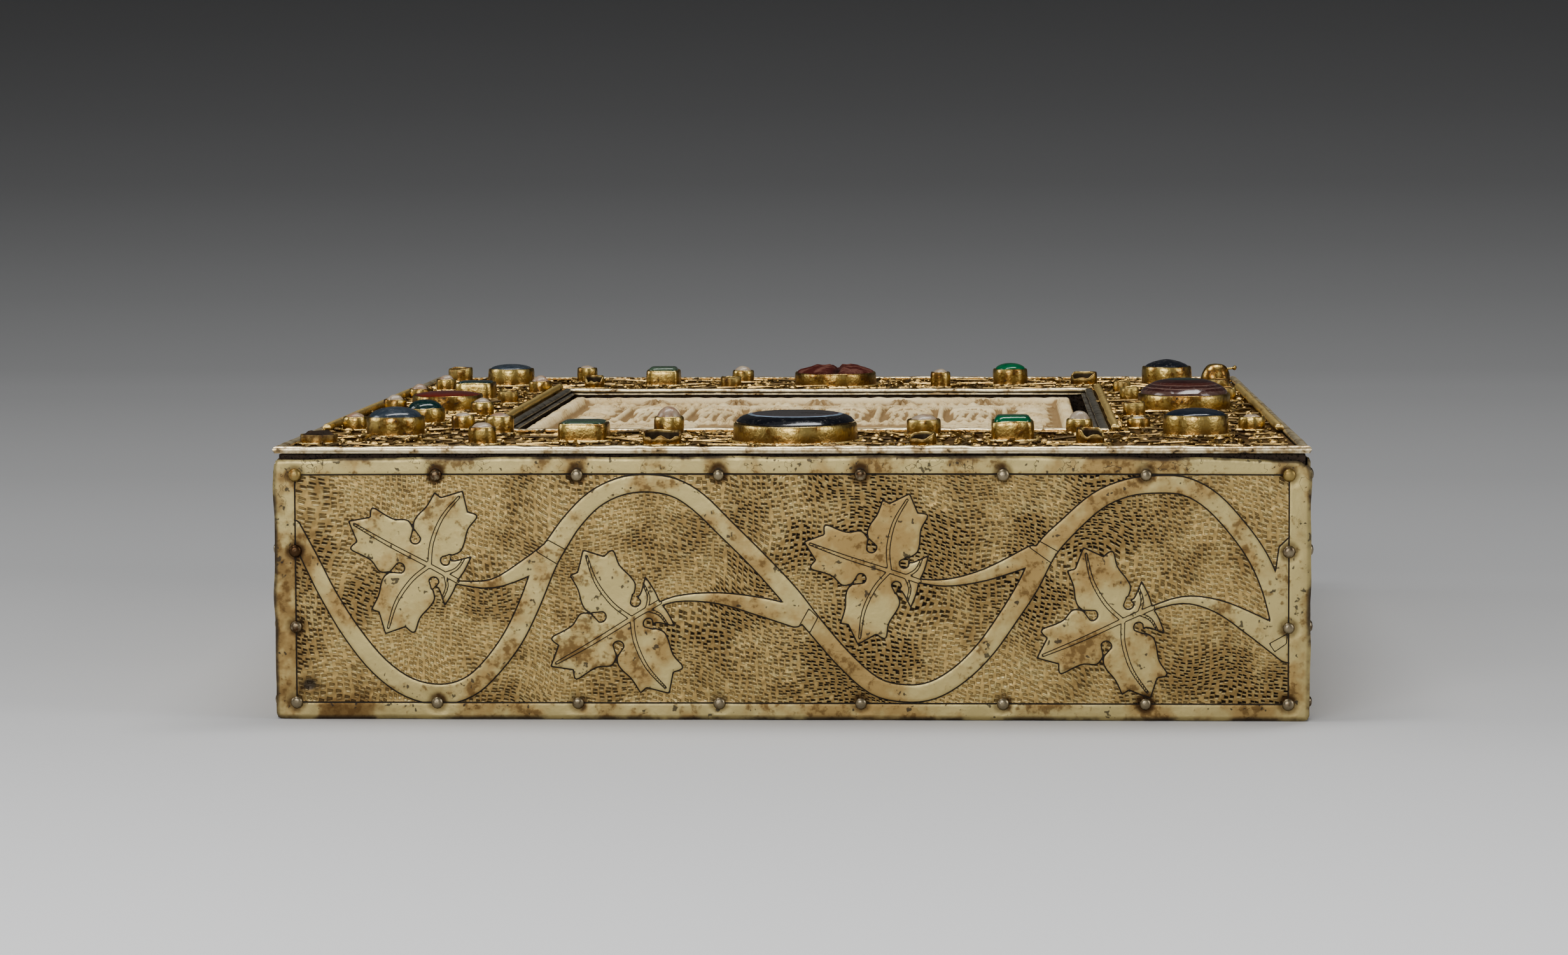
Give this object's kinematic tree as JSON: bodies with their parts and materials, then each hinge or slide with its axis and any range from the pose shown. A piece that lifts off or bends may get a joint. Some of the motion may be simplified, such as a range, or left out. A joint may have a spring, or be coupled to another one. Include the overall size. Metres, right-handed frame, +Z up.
{
  "type": "book-shaped reliquary",
  "caption": "Shallow rectangular reliquary box clad in engraved silver-gilt sheet, with a lift-off jewelled lid framing a carved ivory plaque.",
  "frame": {"origin": "middle of the box's underside, on the surface it stands on", "axes": "+Y along the box's length, away from the short end with the engraved vine scroll; +X to the right seen from that end; +Z up through the jewelled lid"},
  "size_m": [0.2458, 0.3178, 0.0722],
  "materials": {
    "gilt_silver": "worn gilding, satin",
    "gold": "polished, worn",
    "oak": "raw, aged",
    "ivory": "smooth, worn",
    "pearl": "lustrous",
    "onyx": "polished",
    "green_stone": "polished",
    "blue_stone": "polished",
    "dark_stone": "polished",
    "carnelian": "polished",
    "banded_agate": "polished",
    "pale_stone": "polished",
    "red_stone": "rough, worn"
  },
  "bodies": {
    "root": {"back_sheet": "gilt_silver", "banded_agate_right": "banded_agate", "blue_cabochon_left_back": "blue_stone", "blue_cabochon_left_front": "blue_stone", "blue_cabochon_right_front": "blue_stone", "box_core": "oak", "carnelian_oval_left": "carnelian", "dark_blue_cabochon_right": "dark_stone", "dark_green_cabochon_left": "dark_stone", "dark_green_glass_left": "dark_stone", "dark_stone_corner": "dark_stone", "front_sheet": "gilt_silver", "green_cabochon_back": "green_stone", "green_cabochon_front": "green_stone", "green_glass_back": "green_stone", "green_glass_front": "green_stone", "inner_moulding_back": "gilt_silver", "inner_moulding_front": "gilt_silver", "inner_moulding_left": "gilt_silver", "inner_moulding_right": "gilt_silver", "ivory_plaque": "ivory", "border_front": "gold", "border_right": "gold", "border_back": "gold", "border_left": "gold", "left_sheet": "gilt_silver", "lid_board": "oak", "onyx_oval_front": "onyx", "outer_moulding_back": "gilt_silver", "outer_moulding_front": "gilt_silver", "outer_moulding_left": "gilt_silver", "outer_moulding_right": "gilt_silver", "pale_stone_right": "pale_stone", "pearl_back_1": "pearl", "pearl_back_2": "pearl", "pearl_back_3": "pearl", "pearl_front_1": "pearl", "pearl_front_2": "pearl", "pearl_front_3": "pearl", "pearl_front_4": "pearl", "pearl_front_5": "pearl", "pearl_left_1": "pearl", "pearl_left_2": "pearl", "pearl_left_3": "pearl", "pearl_left_4": "pearl", "pearl_left_5": "pearl", "pearl_left_6": "pearl", "pearl_left_7": "pearl", "pearl_right_1": "pearl", "red_stone_back": "red_stone", "right_sheet": "gilt_silver", "underside_sheet": "gilt_silver"}
  },
  "joints": []
}
